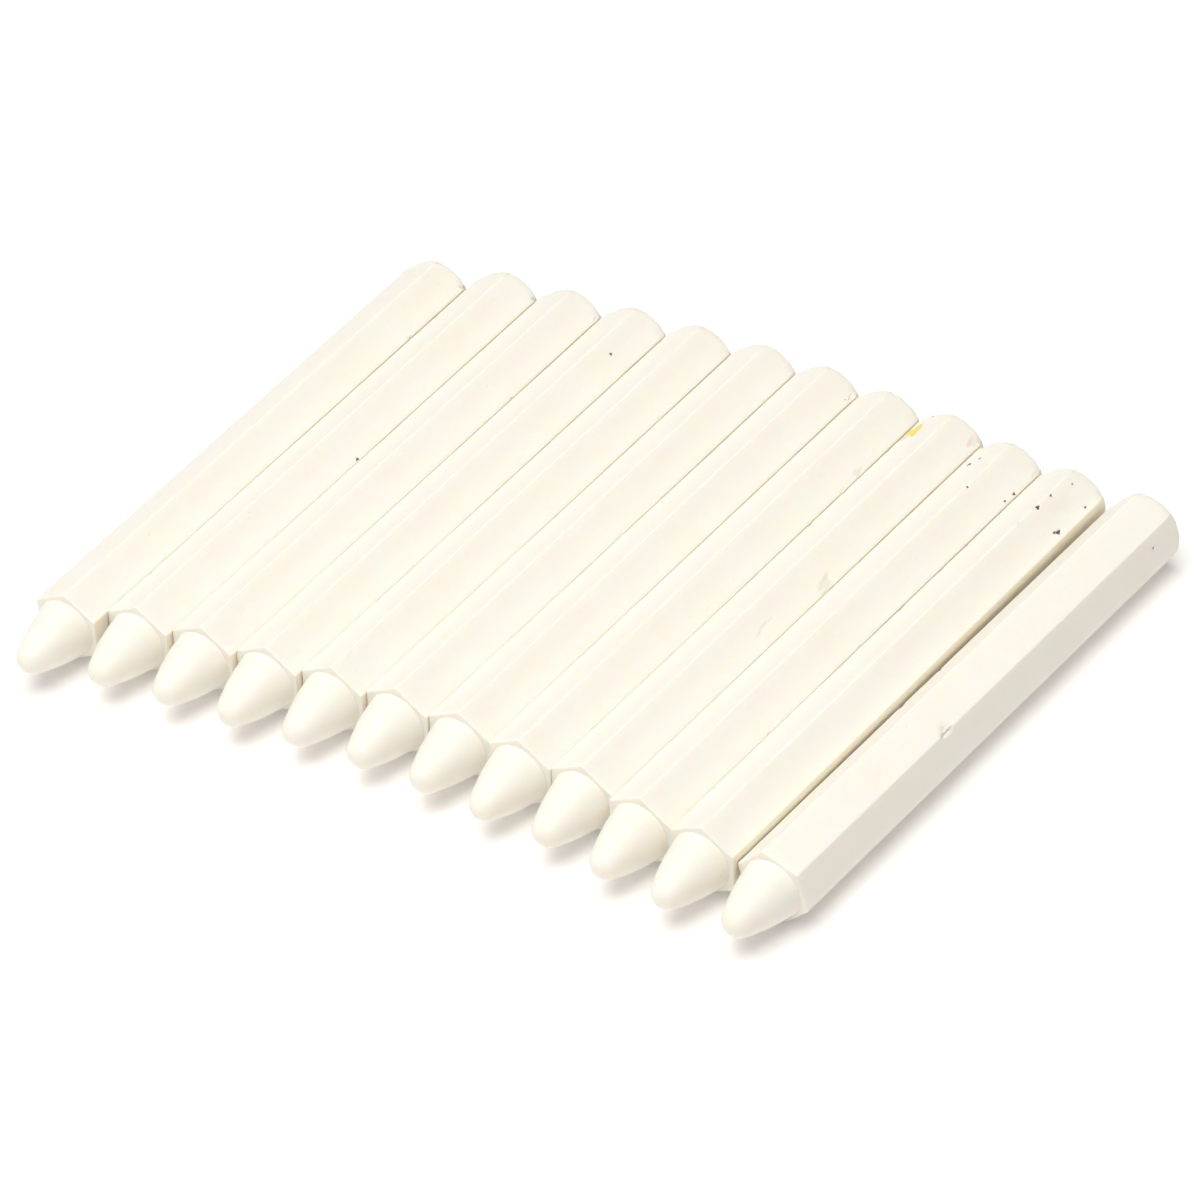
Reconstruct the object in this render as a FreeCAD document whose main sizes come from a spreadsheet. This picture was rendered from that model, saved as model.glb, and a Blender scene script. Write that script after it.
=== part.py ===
"""Twelve hexagonal wax blending sticks with bullet tips, lying side by side in a row.

Frame: +Z is up, +X runs across the row from the first stick to the last, and the sticks lie
along +Y with their tips towards -Y.  The origin is on the supporting surface, under the
middle of the row.  Every stick is the same casting: a hexagonal shaft with softened edges,
a flat shoulder, and a bullet tip that stands on the shoulder.  The sticks stand on a long
edge and lean a little, so that their steep flats meet flat to flat.  They fan out slightly
towards the tails, and the last one has rolled the other way and stands off the row.
"""
import FreeCAD, Part
import math
import os

import Sketcher

# Driving dimensions in millimetres and degrees: alias, value, what it is.
DIMENSIONS = (
    ("across_flats", 12.0, "hexagon, flat to flat"),
    ("stick_length", 120.0, "tip to tail of one stick"),
    ("tip_length", 11.7, "shoulder to the end of the tip"),
    ("nose_radius", 2.9, "rounding at the end of the tip"),
    ("flank_radius", 42.0, "bulge of the tip's flank, seen from the side"),
    ("shoulder_ledge", 0.65, "ledge between a flat and the foot of the tip"),
    ("long_edge_radius", 0.35, "softening of the six long edges"),
    ("shoulder_edge_radius", 0.25, "softening of the shoulder's rim"),
    ("tail_edge_radius", 0.8, "softening of the tail's rim"),
    ("side_gap", 0.16, "clear space between neighbouring shoulders"),
    ("fan_step", 0.22, "turn of each stick from the one before, about the vertical"),
    ("row_lean", -2.0, "roll of the sticks that lean on each other, about their own axes"),
    ("last_lean", 14.5, "roll of the last stick about its own axis"),
    ("last_swing", 0.28, "extra turn of the last stick, away from the row"),
)

# How far each tip stands back from the foremost one: the row was laid in a shallow bow.
SET_BACKS = (0.0, 3.7, 5.3, 6.7, 8.2, 9.4, 9.8, 9.3, 9.4, 7.9, 7.2, 7.8)

STICK_COUNT = len(SET_BACKS)
HEXAGON_SIDES = 6
SIDE_TURN = 360.0 / HEXAGON_SIDES
HALF_SIDE = SIDE_TURN / 2


def make_sheet(doc):
    """Writes the driving dimensions into a spreadsheet and returns it."""
    sheet = doc.addObject("Spreadsheet::Sheet", "Sizes")
    for row, (alias, value, meaning) in enumerate(DIMENSIONS, start=1):
        sheet.set(f"A{row}", meaning)
        sheet.set(f"B{row}", str(value))
        sheet.setAlias(f"B{row}", alias)
    first_set_back = len(DIMENSIONS) + 1
    for number, set_back in enumerate(SET_BACKS, start=1):
        row = first_set_back + number
        sheet.set(f"A{row}", f"set-back of stick {number}")
        sheet.set(f"B{row}", str(set_back))
        sheet.setAlias(f"B{row}", f"set_back_{number:02d}")
    doc.recompute()
    return sheet


def origin_feature(body, role):
    """Returns the body's own origin plane or axis with the given role."""
    return next(item for item in body.Origin.OriginFeatures if item.Role == role)


def new_sketch(body, name, plane_role):
    """Adds an empty sketch on one of the body's origin planes."""
    sketch = body.newObject("Sketcher::SketchObject", name)
    sketch.AttachmentSupport = [(origin_feature(body, plane_role), "")]
    sketch.MapMode = "FlatFace"
    return sketch


def draw_hexagon(sketch, flats):
    """Draws a regular hexagon that stands on a corner, inscribed in a construction circle."""
    corner_radius = flats / math.sqrt(3.0)
    corners = []
    for index in range(HEXAGON_SIDES):
        angle = math.radians(90.0 + index * SIDE_TURN)
        corner = FreeCAD.Vector(math.cos(angle), math.sin(angle), 0.0)
        corners.append(corner * corner_radius)
    for start, end in zip(corners, corners[1:] + corners[:1]):
        sketch.addGeometry(Part.LineSegment(start, end), False)
    axis = FreeCAD.Vector(0.0, 0.0, 1.0)
    origin = FreeCAD.Vector(0.0, 0.0, 0.0)
    circle = sketch.addGeometry(Part.Circle(origin, axis, corner_radius), True)
    for index in range(HEXAGON_SIDES):
        following = (index + 1) % HEXAGON_SIDES
        sketch.addConstraint(Sketcher.Constraint("Coincident", index, 2, following, 1))
        sketch.addConstraint(Sketcher.Constraint("PointOnObject", index, 1, circle))
    for index in range(1, HEXAGON_SIDES):
        sketch.addConstraint(Sketcher.Constraint("Equal", 0, index))
    sketch.addConstraint(Sketcher.Constraint("Coincident", circle, 3, -1, 1))
    sketch.addConstraint(Sketcher.Constraint("PointOnObject", 0, 1, -2))
    radius = sketch.addConstraint(Sketcher.Constraint("Radius", circle, corner_radius))
    sketch.renameConstraint(radius, "CornerRadius")
    sketch.setExpression("Constraints.CornerRadius", "Sizes.across_flats / sqrt(3)")


def flank_centre(foot, reach, nose, flank):
    """Returns the centre of the flank's arc, inside the tip.

    The arc passes through the foot, and it holds the nose's circle, which it touches from
    inside, so its centre is one flank radius from the foot and that less the nose's radius
    from the nose's centre.
    """
    foot_point = FreeCAD.Vector(foot, 0.0, 0.0)
    chord = FreeCAD.Vector(0.0, -reach, 0.0) - foot_point
    inner = flank - nose
    along = (flank ** 2 - inner ** 2 + chord.Length ** 2) / (2.0 * chord.Length)
    aside = math.sqrt(flank ** 2 - along ** 2)
    unit = chord / chord.Length
    inward = FreeCAD.Vector(unit.y, -unit.x, 0.0)
    return foot_point + unit * along + inward * aside


def draw_tip(sketch, foot, length, nose, flank):
    """Draws half of the bullet tip: foot line, flank arc, nose arc and the axis."""
    reach = length - nose
    flank_middle = flank_centre(foot, reach, nose, flank)
    nose_middle = FreeCAD.Vector(0.0, -reach, 0.0)
    origin = FreeCAD.Vector(0.0, 0.0, 0.0)
    foot_point = FreeCAD.Vector(foot, 0.0, 0.0)
    foot_angle = math.atan2(-flank_middle.y, foot - flank_middle.x)
    meeting_angle = math.atan2(nose_middle.y - flank_middle.y, -flank_middle.x)
    axis = FreeCAD.Vector(0.0, 0.0, 1.0)
    flank_circle = Part.Circle(flank_middle, axis, flank)
    nose_circle = Part.Circle(nose_middle, axis, nose)
    foot_line = sketch.addGeometry(Part.LineSegment(origin, foot_point))
    flank_arc = sketch.addGeometry(Part.ArcOfCircle(flank_circle, meeting_angle, foot_angle))
    nose_arc = sketch.addGeometry(Part.ArcOfCircle(nose_circle, -math.pi / 2.0, meeting_angle))
    axis_line = sketch.addGeometry(Part.LineSegment(FreeCAD.Vector(0.0, -length, 0.0), origin))
    constraints = (
        ("Coincident", foot_line, 1, -1, 1),
        ("Coincident", foot_line, 2, flank_arc, 2),
        ("Tangent", flank_arc, 1, nose_arc, 2),
        ("Coincident", nose_arc, 1, axis_line, 1),
        ("Coincident", axis_line, 2, -1, 1),
        ("PointOnObject", foot_line, 2, -1),
        ("PointOnObject", nose_arc, 3, -2),
        ("PointOnObject", nose_arc, 1, -2),
    )
    for constraint in constraints:
        sketch.addConstraint(Sketcher.Constraint(*constraint))
    half_width = "Sizes.across_flats / 2 - Sizes.shoulder_ledge"
    sizes = (
        ("FootRadius", ("DistanceX", foot_line, 1, foot_line, 2, foot), half_width),
        ("FlankRadius", ("Radius", flank_arc, flank), "Sizes.flank_radius"),
        ("NoseRadius", ("Radius", nose_arc, nose), "Sizes.nose_radius"),
        ("TipLength", ("DistanceY", axis_line, 1, axis_line, 2, length), "Sizes.tip_length"),
    )
    for name, arguments, expression in sizes:
        index = sketch.addConstraint(Sketcher.Constraint(*arguments))
        sketch.renameConstraint(index, name)
        sketch.setExpression(f"Constraints.{name}", expression)


def edges_where(feature, test):
    """Returns the names of the feature's edges that pass the test."""
    return [f"Edge{number}" for number, edge in enumerate(feature.Shape.Edges, start=1) if test(edge)]


def lies_at(edge, place, tolerance=1e-4):
    """Says whether the whole edge lies in the plane y = place."""
    box = edge.BoundBox
    return abs(box.YMin - place) < tolerance and abs(box.YMax - place) < tolerance


def make_stick(doc, sheet, name):
    """Makes one stick as a body: its shoulder is at y = 0, its tip towards -y, its tail at +y."""
    body = doc.addObject("PartDesign::Body", name)
    body.Label = name
    shaft_length = sheet.stick_length - sheet.tip_length

    outline = new_sketch(body, f"{name}_section", "XZ_Plane")
    draw_hexagon(outline, sheet.across_flats)
    shaft = body.newObject("PartDesign::Pad", f"{name}_shaft")
    shaft.Profile = outline
    shaft.Reversed = True
    shaft.setExpression("Length", "Sizes.stick_length - Sizes.tip_length")
    doc.recompute()

    softened = body.newObject("PartDesign::Fillet", f"{name}_long_edges")
    softened.Base = (shaft, edges_where(shaft, lambda edge: edge.BoundBox.YLength > shaft_length / 2))
    softened.setExpression("Radius", "Sizes.long_edge_radius")
    doc.recompute()

    tail = body.newObject("PartDesign::Fillet", f"{name}_tail_rim")
    tail.Base = (softened, edges_where(softened, lambda edge: lies_at(edge, shaft_length)))
    tail.setExpression("Radius", "Sizes.tail_edge_radius")
    doc.recompute()

    rim = body.newObject("PartDesign::Fillet", f"{name}_shoulder_rim")
    rim.Base = (tail, edges_where(tail, lambda edge: lies_at(edge, 0.0)))
    rim.setExpression("Radius", "Sizes.shoulder_edge_radius")
    doc.recompute()

    profile = new_sketch(body, f"{name}_tip_profile", "XY_Plane")
    foot_radius = sheet.across_flats / 2 - sheet.shoulder_ledge
    draw_tip(profile, foot_radius, sheet.tip_length, sheet.nose_radius, sheet.flank_radius)
    tip = body.newObject("PartDesign::Revolution", f"{name}_tip")
    tip.Profile = profile
    tip.ReferenceAxis = (origin_feature(body, "Y_Axis"), [""])
    tip.Angle = 360.0
    body.Tip = tip
    doc.recompute()
    return body


def reach_towards(sheet, degrees):
    """Returns how far the softened section reaches from its axis along a direction in its plane.

    The direction is in degrees from the middle of a flat, so HALF_SIDE is a corner.
    """
    nearest_corner = HALF_SIDE + SIDE_TURN * round((degrees - HALF_SIDE) / SIDE_TURN)
    off_corner = math.radians(degrees - nearest_corner)
    rounding = sheet.long_edge_radius
    corner_centre = (sheet.across_flats / 2 - rounding) / math.cos(math.radians(HALF_SIDE))
    return corner_centre * math.cos(off_corner) + rounding


def centre_distance(sheet, roll, next_roll):
    """Returns how far apart two neighbouring axes are, with the side gap between their sticks.

    Sticks that lean alike meet flat to flat; otherwise a corner of one faces the other.
    """
    if roll == next_roll:
        return (sheet.across_flats + sheet.side_gap) / math.cos(math.radians(roll))
    right_reach = reach_towards(sheet, -roll)
    left_reach = reach_towards(sheet, 180.0 - next_roll)
    return right_reach + sheet.side_gap + left_reach


def place_row(doc, sheet, sticks):
    """Places the sticks side by side, each clear of the one before by the side gap."""
    rolls = [sheet.row_lean] * (STICK_COUNT - 1) + [sheet.last_lean]
    centres = [0.0]
    for roll, next_roll in zip(rolls, rolls[1:]):
        centres.append(centres[-1] + centre_distance(sheet, roll, next_roll))
    up = FreeCAD.Vector(0.0, 0.0, 1.0)
    along = FreeCAD.Vector(0.0, 1.0, 0.0)
    for index, stick in enumerate(sticks):
        turn = (index - (STICK_COUNT - 1) / 2) * sheet.fan_step
        if index == STICK_COUNT - 1:
            turn += sheet.last_swing
        set_back = sheet.get(f"set_back_{index + 1:02d}")
        height = reach_towards(sheet, -90.0 - rolls[index])
        place = FreeCAD.Vector(centres[index], set_back + sheet.tip_length, height)
        turning = FreeCAD.Rotation(up, -turn)
        rolling = FreeCAD.Rotation(along, -rolls[index])
        stick.Placement = FreeCAD.Placement(place, turning.multiply(rolling))
    doc.recompute()


def centre_on_origin(doc, sticks):
    """Moves the whole row so that its box is centred on the origin and stands on z = 0."""
    box = FreeCAD.BoundBox()
    for stick in sticks:
        box.add(stick.Shape.optimalBoundingBox(False))
    shift = FreeCAD.Vector(-box.Center.x, -box.Center.y, -box.ZMin)
    for stick in sticks:
        placement = stick.Placement
        placement.Base = placement.Base + shift
        stick.Placement = placement
    doc.recompute()


def check(doc, sticks):
    """Stops the build if any object failed or any stick is not one valid solid."""
    for item in doc.Objects:
        if "Invalid" in item.State or "Error" in item.State:
            raise RuntimeError(f"{item.Label} did not compute: {item.State}")
    for stick in sticks:
        shape = stick.Shape
        if shape.isNull() or not shape.isValid() or len(shape.Solids) != 1:
            raise RuntimeError(f"{stick.Label} is not one valid solid")


def main():
    """Builds the row and writes one STEP file for each stick."""
    doc = FreeCAD.newDocument("blending_sticks")
    sheet = make_sheet(doc)
    sticks = [make_stick(doc, sheet, f"stick_{number:02d}") for number in range(1, STICK_COUNT + 1)]
    place_row(doc, sheet, sticks)
    centre_on_origin(doc, sticks)
    check(doc, sticks)
    os.makedirs("parts", exist_ok=True)
    for stick in sticks:
        stick.Shape.exportStep(os.path.join("parts", f"{stick.Label}.step"))


main()
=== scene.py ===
"""Twelve ivory wax blending sticks in a row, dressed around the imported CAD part.

One stick is modelled once, in its own frame: the shaft runs along +Y from the shoulder at the
origin, the tip points to -Y, and a long edge points up.  It is then copied for each CAD node,
given that stick's own marks, set where the node's own faces say it lies, weathered, and finished
in wax.
"""

import logging
import math
import random
from collections.abc import Callable
from dataclasses import dataclass, field
from enum import Enum

import bmesh
import bpy
import numpy as np
from mathutils import Matrix, Vector


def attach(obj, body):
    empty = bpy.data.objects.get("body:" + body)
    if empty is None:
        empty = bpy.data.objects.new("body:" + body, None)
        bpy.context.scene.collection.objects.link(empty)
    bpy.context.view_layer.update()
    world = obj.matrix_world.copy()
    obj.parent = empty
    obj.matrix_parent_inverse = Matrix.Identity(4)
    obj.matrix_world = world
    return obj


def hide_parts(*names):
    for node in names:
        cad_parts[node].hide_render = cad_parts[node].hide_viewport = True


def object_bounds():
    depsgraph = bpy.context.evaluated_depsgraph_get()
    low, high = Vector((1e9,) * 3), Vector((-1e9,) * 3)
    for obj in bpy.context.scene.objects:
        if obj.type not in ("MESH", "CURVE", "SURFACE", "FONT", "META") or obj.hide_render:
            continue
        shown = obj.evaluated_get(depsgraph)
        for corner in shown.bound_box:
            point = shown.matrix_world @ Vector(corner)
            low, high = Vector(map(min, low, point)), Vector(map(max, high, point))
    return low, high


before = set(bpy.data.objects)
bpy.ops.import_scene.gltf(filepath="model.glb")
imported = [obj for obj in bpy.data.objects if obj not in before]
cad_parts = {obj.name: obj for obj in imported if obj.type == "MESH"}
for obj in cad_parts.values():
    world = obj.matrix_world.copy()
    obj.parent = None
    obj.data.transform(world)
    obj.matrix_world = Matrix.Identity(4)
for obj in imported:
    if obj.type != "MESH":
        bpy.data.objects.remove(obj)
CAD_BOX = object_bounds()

LOG = logging.getLogger("blending_sticks")
MM = 0.001
HEXAGON_SIDES = 6
HALF_SIDE = math.pi / HEXAGON_SIDES  # half the turn that one side takes up
ON_RING = 0.01 * MM  # how near a ring's place a vertex counts as part of it


class Facet(Enum):
    """The six flats of a stick, by where they face: degrees up from +X, seen from the tip."""

    RIGHT_FLAT = 0.0
    UPPER_RIGHT = 60.0
    UPPER_LEFT = 120.0
    LEFT_FLAT = 180.0
    LOWER_LEFT = 240.0
    LOWER_RIGHT = 300.0


class MarkKind(Enum):
    """What a mark is; a coloured kind's value is the name of its vertex attribute."""

    PINHOLE = "speck"
    DENT = "dent"
    CHIP = "chip"
    SMEAR = "smear"
    STAIN = "stain"


COLOURED_KINDS = (MarkKind.PINHOLE, MarkKind.SMEAR, MarkKind.STAIN)


@dataclass(frozen=True)
class Mark:
    """One blemish on a stick, in millimetres.

    Attributes:
        kind: What sort of blemish it is.
        facet: The flat that it is on.
        along: Distance of its middle from the shoulder.
        across: Distance of its middle from the flat's midline, towards the next facet.
        length: Its extent along the stick.
        width: Its extent across the stick.
        depth: How far its middle is pressed in.
        strength: How strongly it is coloured, 0 to 1.
    """

    kind: MarkKind
    facet: Facet
    along: float
    across: float
    length: float
    width: float
    depth: float
    strength: float = 1.0


class Sock:
    """A node's output that takes part in Python expressions."""

    def __init__(self, kit: "NodeKit", source: object) -> None:
        """Wraps a socket.

        Args:
            kit: The node kit that adds the Math nodes.
            source: An output socket.
        """
        self.kit = kit
        self.source = source

    def _math(self, operation: str, first: object, second: object) -> "Sock":
        """Adds one Math node.

        Args:
            operation: The Math node's operation.
            first: A wrapped socket or a number.
            second: A wrapped socket or a number.

        Returns:
            The node's value.
        """
        return self.kit.node("ShaderNodeMath", {"operation": operation}, {0: first, 1: second})

    def __add__(self, other: object) -> "Sock":
        """Returns self + other."""
        return self._math("ADD", self, other)

    def __radd__(self, other: object) -> "Sock":
        """Returns other + self."""
        return self._math("ADD", other, self)

    def __sub__(self, other: object) -> "Sock":
        """Returns self - other."""
        return self._math("SUBTRACT", self, other)

    def __rsub__(self, other: object) -> "Sock":
        """Returns other - self."""
        return self._math("SUBTRACT", other, self)

    def __mul__(self, other: object) -> "Sock":
        """Returns self * other."""
        return self._math("MULTIPLY", self, other)

    def __rmul__(self, other: object) -> "Sock":
        """Returns other * self."""
        return self._math("MULTIPLY", other, self)

    def at_most(self, other: object) -> "Sock":
        """Returns the smaller of self and other."""
        return self._math("MINIMUM", self, other)


@dataclass
class NodeKit:
    """Adds nodes to one material.

    Attributes:
        material: The material that the nodes go into.
    """

    material: bpy.types.Material

    @classmethod
    def start(cls, name: str) -> "NodeKit":
        """Args:
            name: The material's name.
        """
        made = bpy.data.materials.new(name)
        made.use_nodes = True
        made.node_tree.nodes.clear()
        return cls(made)

    def surface(self, sockets: dict[str, object]) -> bpy.types.Material:
        """Returns the material, its surface a Principled shader.

        Args:
            sockets: The shader's values or wrapped sockets, by input name.
        """
        shader = self.node("ShaderNodeBsdfPrincipled", {}, sockets)
        tree = self.material.node_tree
        output = tree.nodes.new("ShaderNodeOutputMaterial")
        tree.links.new(shader.source, output.inputs["Surface"])
        return self.material

    def node(
        self,
        kind: str,
        settings: dict[str, object] | None = None,
        inputs: dict[object, object] | None = None,
        output: object = 0,
    ) -> Sock:
        """Adds a node.

        Args:
            kind: The node's type, such as ShaderNodeTexNoise.
            settings: The node's own settings, set before its sockets.
            inputs: Values or wrapped sockets, by input name or number.
            output: The output to return, by name or number.

        Returns:
            The wrapped output.
        """
        tree = self.material.node_tree
        made = tree.nodes.new(kind)
        for name, value in (settings or {}).items():
            setattr(made, name, value)
        for name, value in (inputs or {}).items():
            if isinstance(value, Sock):
                tree.links.new(value.source, made.inputs[name])
            else:
                made.inputs[name].default_value = value
        return Sock(self, made.outputs[output])

    def place(self, stretch: tuple[float, float, float] = (1.0, 1.0, 1.0)) -> Sock:
        """Returns the object coordinates, stretched.

        Args:
            stretch: The factor along each axis.
        """
        spot = self.node("ShaderNodeTexCoord", output="Object")
        return self.node("ShaderNodeMapping", {}, {"Vector": spot, "Scale": stretch})

    def noise(self, spot: Sock, per_metre: float, detail: float = 2.0, rough: float = 0.5) -> Sock:
        """Returns a noise value about 0 to 1.

        Args:
            spot: The coordinates to read.
            per_metre: Features in a metre.
            detail: Octaves.
            rough: Share of the finer octaves.
        """
        sockets = {"Vector": spot, "Scale": per_metre, "Detail": detail, "Roughness": rough}
        return self.node("ShaderNodeTexNoise", {}, sockets, "Fac")

    def window(self, value: Sock, low: float, high: float) -> Sock:
        """Returns value brought from low..high to 0..1, smoothly and clamped.

        Args:
            value: The value to bring.
            low: What becomes 0.
            high: What becomes 1.
        """
        settings = {"interpolation_type": "SMOOTHSTEP"}
        return self.node("ShaderNodeMapRange", settings, {"Value": value, 1: low, 2: high})

    def attribute(self, name: str) -> Sock:
        """Returns a mesh attribute's value."""
        return self.node("ShaderNodeAttribute", {"attribute_name": name}, output="Fac")

    def blend(self, share: Sock, first: object, second: object) -> Sock:
        """Returns the mix of two colours.

        Args:
            share: 0 for first, 1 for second.
            first: A wrapped colour or an RGBA tuple.
            second: A wrapped colour or an RGBA tuple.
        """
        settings = {"data_type": "RGBA", "blend_type": "MIX"}
        return self.node("ShaderNodeMix", settings, {0: share, 6: first, 7: second}, 2)


@dataclass(frozen=True)
class WaxPatterns:
    """The patterns that the wax's colour, roughness and relief share, each about 0 to 1.

    Attributes:
        drag: Lines along the mould.
        cloud: Broad clouding.
        grain: Fine grain.
        bloom: Dry bloom.
        pits: Air pits.
    """

    drag: Sock
    cloud: Sock
    grain: Sock
    bloom: Sock
    pits: Sock


@dataclass(frozen=True)
class IvoryWax:
    """Cast ivory wax: clouded cream, faint drag lines along the mould, rubbed edges and pits.

    Attributes:
        cream: The usual colour.
        butter: The warmer colour of the thicker, slower-cooled patches.
        bloom: The paler colour of rubbed edges and of the dry bloom on the surface.
        dirt: What fills pinholes.
        rub: The grey-brown of a smear where another stick has rubbed.
        gap_shade_amber: Painted shade: the darker, warm colour laid on the flats that face a
            neighbour, standing in for the shade in the gap between sticks.
        ochre: A stain of yellow pigment.
        madder: The redder rim of that stain.
        roughness: Middle roughness.
        subsurface: Share of light that enters the wax.
        depth: How far that light goes, in metres.
        reach: How far red, green and blue light go, as shares of depth.
        ior: Its index of refraction.
        gloss: Its specular level.
        drag_lines: Drag lines in a metre across the mould.
        drag_stretch: Their rate along the sticks, as a share of that rate.
        clouds: Clouded patches in a metre.
        grains: Grains in a metre.
        blooms: Patches of bloom in a metre.
        bloom_edge: Where the bloom's noise starts and is full.
        pit_cells: Air pits in a metre.
        pit_edge: Where a pit stops being full and ends, in cells from its middle.
        pit_patches: Pitted patches in a metre.
        patch_edge: Where the patches' noise starts and is full.
        warm_edge: Where the clouding starts to turn warm and is all warm.
        rim_edge: Where a stain's rim starts and is full.
        heart_edge: Where its heart starts and is full.
        speck_edge: Where the dirt in a pinhole starts and is full.
        relief: Height of the surface's bumps, in metres.
        name: The material's name.
    """

    cream: tuple = (0.945, 0.910, 0.830, 1.0)
    butter: tuple = (0.942, 0.898, 0.805, 1.0)
    bloom: tuple = (0.950, 0.930, 0.870, 1.0)
    dirt: tuple = (0.140, 0.112, 0.092, 1.0)
    rub: tuple = (0.730, 0.670, 0.560, 1.0)
    gap_shade_amber: tuple = (0.925, 0.835, 0.670, 1.0)
    ochre: tuple = (0.860, 0.740, 0.150, 1.0)
    madder: tuple = (0.780, 0.600, 0.460, 1.0)
    roughness: float = 0.47
    subsurface: float = 0.55
    depth: float = 0.0021
    reach: tuple = (1.0, 0.62, 0.34)
    ior: float = 1.44
    gloss: float = 0.42
    drag_lines: float = 1500.0
    drag_stretch: float = 0.035
    clouds: float = 95.0
    grains: float = 2600.0
    blooms: float = 330.0
    bloom_edge: tuple = (0.52, 0.74)
    pit_cells: float = 620.0
    pit_edge: tuple = (0.08, 0.20)
    pit_patches: float = 210.0
    patch_edge: tuple = (0.58, 0.70)
    warm_edge: tuple = (0.36, 0.66)
    rim_edge: tuple = (0.05, 0.35)
    heart_edge: tuple = (0.32, 0.62)
    speck_edge: tuple = (0.30, 0.70)
    relief: float = 0.00005
    name: str = "cast_ivory_wax"

    def material(self) -> bpy.types.Material:
        """Returns the wax material."""
        kit = NodeKit.start(self.name)
        spot = kit.place()
        along = kit.place((1.0, self.drag_stretch, 1.0))
        on = WaxPatterns(
            drag=kit.noise(along, self.drag_lines, 3.0, 0.6),
            cloud=kit.noise(spot, self.clouds, 4.0, 0.55),
            grain=kit.noise(spot, self.grains, 3.0, 0.6),
            bloom=kit.window(kit.noise(spot, self.blooms, 5.0, 0.68), *self.bloom_edge),
            pits=self._pits(kit, spot),
        )
        return kit.surface(
            {
                "Base Color": self._colour(kit, on),
                "Roughness": self._roughness(kit, on),
                "Normal": self._relief(kit, on),
                "IOR": self.ior,
                "Specular IOR Level": self.gloss,
                "Subsurface Weight": self.subsurface,
                "Subsurface Radius": self.reach,
                "Subsurface Scale": self.depth,
            }
        )

    def _pits(self, kit: NodeKit, spot: Sock) -> Sock:
        """Returns 1 in the middle of scattered tiny air pits and 0 between them.

        Args:
            kit: The node kit.
            spot: The coordinates.
        """
        sockets = {"Vector": spot, "Scale": self.pit_cells}
        cell = kit.node("ShaderNodeTexVoronoi", {}, sockets, "Distance")
        patch = kit.window(kit.noise(spot, self.pit_patches), *self.patch_edge)
        return (1.0 - kit.window(cell, *self.pit_edge)) * patch

    def _colour(self, kit: NodeKit, on: WaxPatterns) -> Sock:
        """Returns the wax's colour with its marks.

        Args:
            kit: The node kit.
            on: The patterns on the wax.
        """
        worn = kit.attribute("rubbed")
        sheltered = kit.attribute("sheltered")
        speck = kit.attribute(MarkKind.PINHOLE.value)
        smear = kit.attribute(MarkKind.SMEAR.value)
        stain = kit.attribute(MarkKind.STAIN.value)
        warmth = kit.window(on.cloud * 0.75 + on.drag * 0.25, *self.warm_edge)
        tint = kit.blend(warmth, self.cream, self.butter)
        # Painted shade: the flats that face a neighbour are tinted a darker warm amber, standing in
        # for the shade in the gap between sticks.
        tint = kit.blend(sheltered * (0.40 + on.cloud * 0.40), tint, self.gap_shade_amber)
        tint = kit.blend((on.bloom * 0.40 + worn * 0.08).at_most(1.0), tint, self.bloom)
        tint = kit.blend(on.pits * 0.22, tint, self.rub)
        tint = kit.blend(smear * (0.45 + on.bloom * 0.4), tint, self.rub)
        tint = kit.blend(kit.window(stain, *self.rim_edge) * 0.55, tint, self.madder)
        tint = kit.blend(kit.window(stain, *self.heart_edge), tint, self.ochre)
        return kit.blend(kit.window(speck, *self.speck_edge), tint, self.dirt)

    def _roughness(self, kit: NodeKit, on: WaxPatterns) -> Sock:
        """Returns the wax's roughness: greasy where it is smooth, dry on bloom and edges.

        Args:
            kit: The node kit.
            on: The patterns on the wax.
        """
        dry = kit.attribute("rubbed") * 0.10 + on.bloom * 0.10 + on.pits * 0.15
        return self.roughness + (on.cloud - 0.5) * 0.14 + (on.grain - 0.5) * 0.06 + dry

    def _relief(self, kit: NodeKit, on: WaxPatterns) -> Sock:
        """Returns the bumped normal.

        Args:
            kit: The node kit.
            on: The patterns on the wax.
        """
        height = on.drag * 0.45 + on.grain * 0.35 + on.cloud * 0.5 - on.pits * 1.6
        sockets = {"Strength": 0.35, "Distance": self.relief, "Height": height}
        return kit.node("ShaderNodeBump", {}, sockets, "Normal")


@dataclass(frozen=True)
class PaleBoard:
    """The pale board that the sticks lie on.

    Attributes:
        white: The board's colour.
        shade: The colour of its faint mottling.
        glow: How strongly the board is lit from behind, as on a light table.
        glow_colour: The colour of that light.
        roughness: Its roughness.
        gloss: Its specular level.
        mottles: Mottled patches in a metre.
        mottle_edge: Where the mottling starts and is full.
        name: The material's name.
    """

    white: tuple = (0.930, 0.920, 0.915, 1.0)
    shade: tuple = (0.905, 0.895, 0.890, 1.0)
    glow: float = 0.13
    glow_colour: tuple = (1.0, 0.975, 0.965, 1.0)
    roughness: float = 0.9
    gloss: float = 0.1
    mottles: float = 40.0
    mottle_edge: tuple = (0.35, 0.65)
    name: str = "pale_board"

    def material(self) -> bpy.types.Material:
        """Returns the board's material."""
        kit = NodeKit.start(self.name)
        mottle = kit.window(kit.noise(kit.place(), self.mottles, 3.0), *self.mottle_edge)
        return kit.surface(
            {
                "Base Color": kit.blend(mottle, self.white, self.shade),
                "Roughness": self.roughness,
                "Specular IOR Level": self.gloss,
                "Emission Color": self.glow_colour,
                "Emission Strength": self.glow,
            }
        )


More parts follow.
